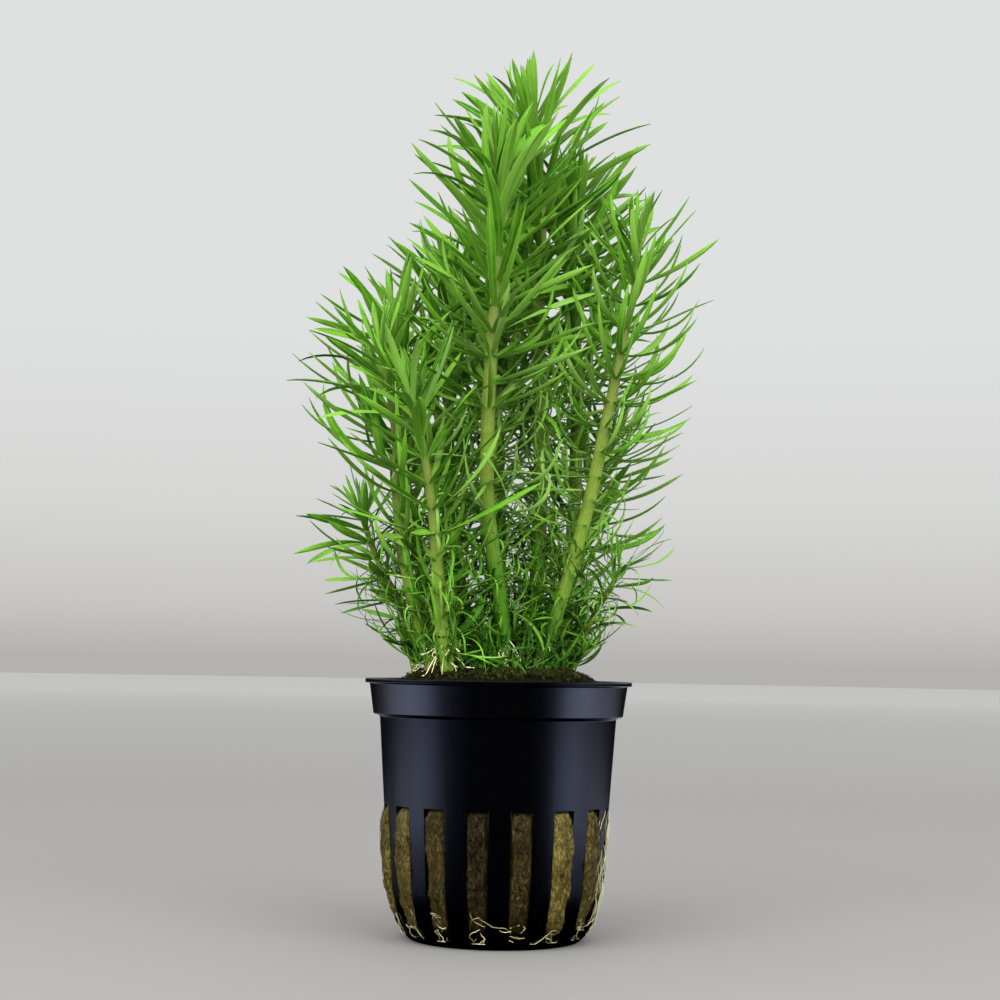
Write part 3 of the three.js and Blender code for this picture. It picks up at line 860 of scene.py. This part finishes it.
stemLines = [stemLine(shoot["route"]) for shoot in shoots]
stemPlaces = [
    (place, index) for index, (line, _) in enumerate(stemLines) for place in line[::stems["probeEvery"]]
]
stemTree = kdtree.KDTree(len(stemPlaces))
for number, (place, _) in enumerate(stemPlaces):
    stemTree.insert(place, number)
stemTree.balance()


# True if a leaf stays inside the plant's box, above the wool, off the rim and out of the other stems
def isClear(line, shootIndex):
    for place, _, _ in line[2:]:
        # The skirt is wider to the front and the back
        aside = hypot(place.x, place.y * leaves["skirtDepth"])
        if place.z < leaves["lowestPoint"] or aside > along(leaves["skirt"], place.z):
            return False
        for axis in range(3):
            if not lowCorner[axis] - leaves["stray"] < place[axis] < highCorner[axis] + leaves["stray"]:
                return False
        for _, number, _ in stemTree.find_range(place, stems["clearance"]):
            if stemPlaces[number][1] != shootIndex:
                return False
    return True


# Share of leaves that are missing low down where they would point away from the plant's middle
def wornShare(place, out):
    outside = (place.x * out.x + place.y * out.y) / max(hypot(place.x, place.y), 4)
    low = 1 - smoothStep(*leaves["wornHeights"], place.z)
    return leaves["worn"] * smoothStep(*leaves["wornTurn"], outside) * low


# How deep a place lies in the plant's heart, which sets how much painted shade it gets
def shadedHeartShare(place, edge):
    inside = 1 - smoothStep(edge, edge + shadedHeart["fade"], hypot(place.x, place.y))
    return inside * (1 - smoothStep(*shadedHeart["heights"], place.z))


def growLeaf(draft, shoot, shootIndex, frameHere, angle, radius, below, height, kept, chance):
    place, up, right, back = frameHere
    length, rise, bend = (
        along([(stage[0], stage[value]) for stage in leaves["stages"]], below) for value in (1, 2, 3)
    )
    old = smoothStep(*leaves["age"], below)
    grown = lerp(leaves["baseShare"], 1, clamp(height / leaves["fullHeight"]))
    length = length * grown * kept * shoot["long"]
    arching = smoothStep(*leaves["arching"], below)
    sweeping = smoothStep(*leaves["sweeping"], below)
    curve = shoot["arch"] * arching * (1 - sweeping)
    curve += shoot["sweep"] * sweeping * (1 - smoothStep(*leaves["hanging"], below))
    lift = lerp(1, shoot["lift"], smoothStep(0, shoot["opening"], below))
    rise = rise * lift - leaves["archDrop"] * max(curve, 0)
    tone, toneSpread = leaves["tone"]

    def spread(kind):
        young, more = leaves["spreads"][kind]
        return chance.gauss(0, young + more * old)

    for attempt in range(leaves["tries"]):
        out = between(right, back, radians(angle + chance.gauss(0, leaves["turnSpread"] * (attempt + 1))))
        leaf = {
            "length": length * chance.uniform(*leaves["lengthShares"]),
            "rise": rise + spread("rise") + attempt * leaves["liftPerTry"],
            "bend": bend + curve + spread("bend"),
            **{kind: spread(kind) for kind in ("curl", "drift", "twist")},
            "width": along(leaves["widths"], below) * shoot["wide"] * chance.uniform(*leaves["widthShares"]),
            # Tone: older leaves paler, partly as painted light for the shaded middle, and leaves in the
            # heart darker as painted shade
            "tone": clamp(
                chance.gauss(tone, toneSpread) + leaves["oldPaintedLight"] * old
                - leaves["heartPaintedShade"] * shadedHeartShare(place, leaves["heartEdge"])
            ),
        }
        if addClearBlade(draft, place + out * radius * leaves["rooted"], out, up, leaf, shootIndex):
            return


def growSprout(draft, frameHere, radius, lengths, tone, shootIndex, chance):
    place, up, right, back = frameHere
    for _ in range(sprouts["tries"]):
        out = between(right, back, chance.uniform(0, 2 * pi))
        if chance.random() < wornShare(place, out) * sprouts["worn"]:
            continue
        leaf = {
            "length": chance.uniform(*lengths),
            "rise": chance.uniform(*sprouts["rises"]),
            **{kind: chance.gauss(0, sprouts["curl"]) for kind in ("bend", "curl", "drift")},
            "twist": chance.gauss(0, sprouts["twist"]),
            "width": chance.uniform(*sprouts["widths"]),
            "tone": clamp(
                chance.gauss(tone, sprouts["toneSpread"])
                - sprouts["heartPaintedShade"] * shadedHeartShare(place, sprouts["heartEdge"])
            ),
        }
        if addClearBlade(draft, place + out * radius, out, up, leaf, shootIndex):
            return


def makeShoot(shootIndex, materials):
    shoot = shoots[shootIndex]
    stem = stemLines[shootIndex]
    total = stem[1][-1]
    chance = random.Random(shoot["seed"] * 100 + shootIndex)
    draft = Draft("tone", "share", "vein")
    depths = whorlDepths(total - stemDepth - whorls["lowest"])
    nodes = [total - below for below in reversed(depths)]

    def radiusAt(length):
        return shoot["radius"] * along(stems["taper"], total - length)

    # Stem: rings from below the wool's surface up to the bud
    ringPlaces = [(stems["bareStart"], 1.0), (stemDepth, 1.0)]
    for first, second in zip(nodes, nodes[1:]):
        ringPlaces += [(lerp(first, second, share), swell) for share, swell in stems["rings"]]
    ringPlaces += zip((nodes[-1], total), stems["bud"])
    previous = None
    for length, swell in ringPlaces:
        place, up, right, back = stemFrame(stem, length)
        ring = []
        for side in range(stems["sides"]):
            out = between(right, back, 2 * pi * side / stems["sides"])
            # Tone darkens the joints, and it also darkens the stem deep in the plant's heart as painted
            # shade
            ring.append(draft.addPoint(
                place + out * radiusAt(length) * (swell + stems["ribs"] * (side % 2)),
                vein=side % 2,
                share=length / total,
                tone=max(
                    clamp((swell - 1) / stems["swollen"]) * stems["ringTone"],
                    shadedHeartShare(place, shadedHeart["stemEdge"]),
                ),
            ))
        if previous:
            draft.addWalls(previous, ring)
        else:
            draft.addFace(*reversed(ring))
        previous = ring
    draft.addFace(*previous)

    # Leaves: whorls from the bud down, each turned against the one above
    leafyTop = min(leaves["leafyTop"], leaves["leafyShare"] * total)
    for whorl, below in enumerate(depths):
        length = total - below
        frameHere = stemFrame(stem, length)
        count = round(along(whorls["leaves"], below) * shoot["full"])
        start = shoot["turn"] + whorl * 180 / count + chance.uniform(-whorls["stagger"], whorls["stagger"])
        for number in range(count):
            angle = start + number * 360 / count
            # Some are missing: those that point to the front where the bare stem shows, and low ones outside
            turn = radians(angle)
            missing = shoot["bare"] * smoothStep(*leaves["bareTurn"], -sin(turn))
            missing *= smoothStep(*leaves["bareDepth"], below)
            worn = wornShare(frameHere[0], levelWay(turn))
            worn *= smoothStep(leafyTop, leafyTop + leaves["leafyFade"], below)
            kept = 1
            if chance.random() < max(missing, worn):
                # The base of some of them stays on the stem
                kept = chance.uniform(*leaves["stubs"])
                if chance.random() > leaves["stubShare"]:
                    continue
            radius, height = radiusAt(length), length - stemDepth
            growLeaf(draft, shoot, shootIndex, frameHere, angle, radius, below, height, kept, chance)

    def sprout(height, lengths, tone):
        length = stemDepth + height
        radius = radiusAt(length) * sprouts["rooted"]
        growSprout(draft, stemFrame(stem, length), radius, lengths, tone, shootIndex, chance)

    # Sprouts: thin leaves in no order round the stem's foot, most of them low down, where painted shade
    # makes them a deeper green
    for _ in range(sprouts["perStem"]):
        height = lerp(*sprouts["heights"], chance.random() ** 2)
        sprout(height, sprouts["lengths"], lerp(*sprouts["tones"], clamp(height / sprouts["paintedShadeHeight"])))
    for _ in range(sprouts["atFoot"]):
        sprout(chance.uniform(*sprouts["footHeights"]), sprouts["footLengths"], sprouts["tones"][1])
    makePiece(
        "cutting_" + shoot["name"], draft, materials, "leaf", "shoot_" + shoot["name"],
        sharpAngle=leaves["sharpAngle"],
    )


# Living stem: pale yellow-green skin with fine pale ribs, ringed at each node, moist and slightly glossy;
# the rings' dark green also serves as painted shade deep in the plant's heart
def stemSkin():
    material, add, share, ribs, ringedAndShaded = newMaterial("living stem skin", "share", "vein", "tone")
    place = add("TexCoord")["Object"]
    # Cell rows are about 0.4 mm wide
    cells = add("TexNoise", {"Vector": place, "Scale": 1 / (1.2 * mm), "Detail": 4.0})
    height = add("ValToRGB", {"Fac": share}, stops=[
        (0.06, "#4d741a"), (0.25, "#5b7720"), (0.5, "#65752c"), (0.75, "#64633a"), (1.0, "#58712b"),
    ])
    stripe = add("Math", {0: ribs, 1: 0.5}, operation="MULTIPLY")
    striped = add("Mix", {0: stripe[0], 6: height["Color"], 7: linear("#727c3f")}, data_type="RGBA")
    mottled = add("Mix", {0: cells["Fac"], 6: linear("#476015"), 7: striped[2]}, data_type="RGBA")
    # The joints' dark green also serves as painted shade in the plant's heart
    jointsAndShade = add("Mix", {0: ringedAndShaded, 6: mottled[2], 7: linear("#33600c")}, data_type="RGBA")
    relief = add("Bump", {"Strength": 0.5, "Distance": 0.15 * mm, "Height": ribs})
    skin = add("BsdfPrincipled", {
        "Base Color": jointsAndShade[2], "Roughness": 0.46, "IOR": 1.42, "Specular IOR Level": 0.2,
        "Normal": relief["Normal"],
    })
    add("OutputMaterial", {"Surface": skin[0]})
    return material


# Living leaf: a waxy green blade that passes some light, paler at its root and along the midrib
def leafBlade():
    material, add, tone, share, vein = newMaterial("waxy living leaf", "tone", "share", "vein")
    place = add("TexCoord")["Object"]
    # The tissue's mottle is about 2.5 mm wide, and fine streaks run along the blade beside the midrib
    mottle = add("TexNoise", {"Vector": place, "Scale": 1 / (2.5 * mm), "Detail": 4.0})
    onBlade = add("CombineXYZ", {"X": share, "Y": vein, "Z": tone})
    stretched = add("VectorMath", {0: onBlade["Vector"], 1: (3.0, 4.0, 60.0)}, operation="MULTIPLY")
    streaks = add("TexNoise", {"Vector": stretched["Vector"], "Scale": 1.0, "Detail": 3.0})
    streaked = add("Math", {0: streaks["Fac"], 1: 0.35, 2: tone}, operation="MULTIPLY_ADD")
    shade = add("Math", {0: mottle["Fac"], 1: 0.25, 2: streaked[0]}, operation="MULTIPLY_ADD")
    # The palest stops lean to grey-blue as a painted sheen on the brightest leaves
    green = add("ValToRGB", {"Fac": shade[0]}, stops=[
        (0.3, "#0b3801"), (0.46, "#285f0c"), (0.63, "#50881a"), (0.8, "#5f8d2c"), (1.0, "#6a9143"),
    ])
    # Paler tints at the root, along the midrib and at the margins. The margins' pale line is partly their
    # own colour and partly a painted highlight on their rolled edges, and the midrib's and margins' tints
    # lean to grey-blue as a painted sheen
    tinted = green["Color"]
    for painted, first, last, atFirst, atLast, tint in (
        (share, 0.0, 0.28, 0.55, 0.0, "#6f9932"), (vein, 0.72, 0.95, 0.0, 0.6, "#74a03f"),
        (vein, 0.0, 0.22, 0.5, 0.0, "#78a447"),
    ):
        part = add("MapRange", {0: painted, 1: first, 2: last, 3: atFirst, 4: atLast})
        tinted = add("Mix", {0: part["Result"], 6: tinted, 7: linear(tint)}, data_type="RGBA")[2]
    relief = add("Bump", {"Strength": 0.4, "Distance": 0.12 * mm, "Height": streaks["Fac"]})
    skin = add("BsdfPrincipled", {
        "Base Color": tinted, "Roughness": 0.37, "IOR": 1.42, "Specular IOR Level": 0.22,
        "Normal": relief["Normal"],
    })
    glow = add("BsdfTranslucent", {"Color": tinted})
    blended = add("MixShader", {0: 0.15, 1: skin[0], 2: glow[0]})
    add("OutputMaterial", {"Surface": blended[0]})
    return material


# Moss, in millimetres: small upright tufts on the middle of the wool's crown
moss = {
    "tufts": 3400, "radius": 16.5, "fray": 1.8, "edge": 24, "rim": 24.4, "sunk": 0.5, "tones": (0.1, 0.5),
    "cushion": 5, "blades": 4, "heights": (0.3, 1.3), "droop": 0.15, "spread": 0.7, "thickness": 0.085,
    "seed": 23,
}


# Moss: dark olive-green tufts, dull and moist
def mossTufted():
    material, add, tone = newMaterial("tufted moss", "tone")
    place = add("TexCoord")["Object"]
    # Cushions are about 4 mm wide
    cushions = add("TexNoise", {"Vector": place, "Scale": 1 / (4 * mm), "Detail": 3.0})
    shade = add("Math", {0: cushions["Fac"], 1: 0.6, 2: tone}, operation="MULTIPLY_ADD")
    green = add("ValToRGB", {"Fac": shade[0]}, stops=[
        (0.25, "#080a03"), (0.55, "#181d07"), (0.8, "#2f3510"), (1.0, "#544f1e"),
    ])
    surface = add("BsdfPrincipled", {
        "Base Color": green["Color"], "Roughness": 0.8, "Specular IOR Level": 0.15,
    })
    add("OutputMaterial", {"Surface": surface[0]})
    return material


def makeMoss():
    chance = random.Random(moss["seed"])
    draft = Draft("tone")
    for _ in range(moss["tufts"]):
        radius = moss["radius"] * sqrt(chance.random()) + abs(chance.gauss(0, moss["fray"]))
        radius = min(radius, moss["edge"])
        foot = onCircle(radius, chance.uniform(0, 360), crownHeight(radius) - moss["sunk"])
        tone = chance.uniform(*moss["tones"])
        height = chance.uniform(*moss["heights"]) * (0.75 + 0.5 * noise.noise(foot / moss["cushion"]))
        for _ in range(moss["blades"]):
            lean = Vector((chance.gauss(0, 1), chance.gauss(0, 1), 0)) * moss["spread"]
            tip = foot + (lean + Vector((0, 0, 1))).normalized() * height + Vector((0, 0, moss["sunk"]))
            if hypot(tip.x, tip.y) < moss["rim"]:
                middle = foot.lerp(tip, 0.5) - lean * moss["droop"]
                draft.addThread([foot, middle, tip], moss["thickness"], tone=tone)
    makePiece("moss_cushion", draft, [mossTufted()], "mineral_wool")


# Roots, in millimetres and degrees, with bends in radians: cream threads that curl out of the slots' feet,
# hang down the right side and lie on the moss
roots = {
    "sides": 5,
    "curls": {
        "perSlot": 6, "halfAngle": 4.3, "within": 0.9, "heights": (1.9, 5.0), "reach": (1.4, 7.5),
        "sunk": 0.6, "lifts": (-0.05, 0.25), "proud": (-0.9, 0.3), "tilt": 0.8, "spins": (0.03, 0.28),
        "bend": 0.25, "strayShare": 0.22, "strayProud": 0.2, "steps": (8, 18), "step": 0.5,
        "turnRadius": 21, "radii": (0.027, 0.063), "tones": (0, 0.7),
    },
    "strands": {
        "count": 26, "turns": (-36, 2, -14), "top": 27, "drops": (0, 18), "foot": 2.5, "lengths": (4, 13),
        "proudFrom": (0.1, 0.4), "proud": (0.1, 1.1), "waver": 0.12, "slant": 0.35, "bend": 0.4,
        "drift": 1.1, "sideStep": 0.5, "step": 0.8, "turnRadius": 23, "radii": (0.027, 0.054),
        "tones": (0.1, 0.8),
    },
    "hanging": {
        "stems": ("centre", "right", "left_front", "left_mid"), "perStem": 9, "spread": 1, "fromStem": 1.2,
        "heights": (0.5, 5.5), "falls": (0.1, 0.4), "faller": (0.03, 0.08), "bend": 0.4, "steps": (8, 14),
        "step": 0.4, "edge": 24, "overMoss": 0.6, "radii": (0.078, 0.169), "tones": (0.3, 1),
    },
    "seed": 31,
}


# Young roots: smooth cream threads with a moist gloss
def rootSkin():
    material, add, tone = newMaterial("young root", "tone")
    cream = add("ValToRGB", {"Fac": tone}, stops=[
        (0.0, "#85784a"), (0.5, "#bfb88a"), (1.0, "#dcdab8"),
    ])
    surface = add("BsdfPrincipled", {"Base Color": cream["Color"], "Roughness": 0.4, "IOR": 1.4})
    add("OutputMaterial", {"Surface": surface[0]})
    return material


# Outer radius of the pot's wall at a height
def potRadius(height):
    return along([(z, r) for r, z in reversed(pot["outer"][4:10])], height)


def makeRoots():
    chance = random.Random(roots["seed"])
    draft = Draft("tone")

    def addRoot(places, kind):
        radius = chance.uniform(*kind["radii"])
        draft.addThread(places, radius, sides=roots["sides"], tone=chance.uniform(*kind["tones"]))

    # Curls at the feet of the slots, of which some stray over the ribs
    curls = roots["curls"]
    for slot in [slot for slot in range(pot["slots"]) for _ in range(curls["perSlot"])]:
        middle = slotMiddle(slot)
        low, high = middle - curls["halfAngle"], middle + curls["halfAngle"]
        angle = middle + chance.uniform(-curls["within"], curls["within"]) * curls["halfAngle"]
        height = chance.uniform(*curls["heights"])
        proud = -curls["sunk"]
        heading = chance.choice((0, pi)) + chance.gauss(0, curls["tilt"])
        spin = chance.choice((-1, 1)) * chance.uniform(*curls["spins"])
        strays = chance.random() < curls["strayShare"]
        places = []
        for _ in range(chance.randint(*curls["steps"])):
            places.append(onCircle(potRadius(height) + proud, angle, height))
            angle += degrees(cos(heading) * curls["step"] / curls["turnRadius"])
            height = clamp(height + sin(heading) * curls["step"], *curls["reach"])
            proud = clamp(proud + chance.uniform(*curls["lifts"]), *curls["proud"])
            if not low <= angle <= high:
                if strays:
                    proud = max(proud, curls["strayProud"])
                else:
                    angle = clamp(angle, low, high)
                    heading = pi - heading
            heading += spin + chance.gauss(0, curls["bend"])
        addRoot(places, curls)

    # Strands that hang down outside the pot on its right
    strands = roots["strands"]
    for _ in range(strands["count"]):
        angle = chance.triangular(*strands["turns"])
        height = strands["top"] - chance.uniform(*strands["drops"])
        low = max(strands["foot"], height - chance.uniform(*strands["lengths"]))
        proud = chance.uniform(*strands["proudFrom"])
        drift = chance.gauss(0, strands["slant"])
        places = []
        while height > low:
            places.append(onCircle(potRadius(height) + proud, angle, height))
            drift = clamp(drift + chance.gauss(0, strands["bend"]), -strands["drift"], strands["drift"])
            angle += degrees(drift * strands["sideStep"] / strands["turnRadius"])
            proud = clamp(proud + chance.gauss(0, strands["waver"]), *strands["proud"])
            height -= strands["step"]
        if len(places) > 3:
            addRoot(places, strands)

    # Threads that hang from the stems' feet onto the moss
    hanging = roots["hanging"]
    for shoot in [shoot for shoot in shoots if shoot["name"] in hanging["stems"]] * hanging["perStem"]:
        heading = chance.gauss(-pi / 2, hanging["spread"])
        place = Vector(shoot["route"][0]) + levelWay(heading) * hanging["fromStem"]
        place.z += chance.uniform(*hanging["heights"])
        fall = chance.uniform(*hanging["falls"])
        places = []
        for _ in range(chance.randint(*hanging["steps"])):
            places.append(place.copy())
            place += levelWay(heading) * hanging["step"]
            lowest = crownHeight(min(hypot(place.x, place.y), hanging["edge"])) + hanging["overMoss"]
            place.z = max(place.z - fall, lowest)
            fall += chance.gauss(*hanging["faller"])
            heading += chance.gauss(0, hanging["bend"])
        addRoot(places, hanging)
    makePiece("root_threads", draft, [rootSkin()], "leaf")


# Young curly leaves that come up between the stems, a deep green from their low tone as painted shade at the
# plant's foot
def makeCrownSprouts(materials):
    chance = random.Random(sprouts["seed"])
    draft = Draft("tone", "share", "vein")
    for _ in range(sprouts["onCrown"]):
        radius = sprouts["crownRadius"] * sqrt(chance.random())
        place = onCircle(radius, chance.uniform(0, 360), crownHeight(radius))
        frameHere = place, Vector((0, 0, 1)), Vector((1, 0, 0)), Vector((0, 1, 0))
        growSprout(draft, frameHere, 0.0, sprouts["crownLengths"], sprouts["crownTone"], None, chance)
    makePiece("crown_sprouts", draft, materials, "leaf", sharpAngle=leaves["sharpAngle"])


makeMoss()
makeRoots()
print("moss and roots ready")


shootFinishes = [stemSkin(), leafBlade()]
makeCrownSprouts(shootFinishes)
for shootIndex in range(len(shoots)):
    makeShoot(shootIndex, shootFinishes)
print("shoots ready")
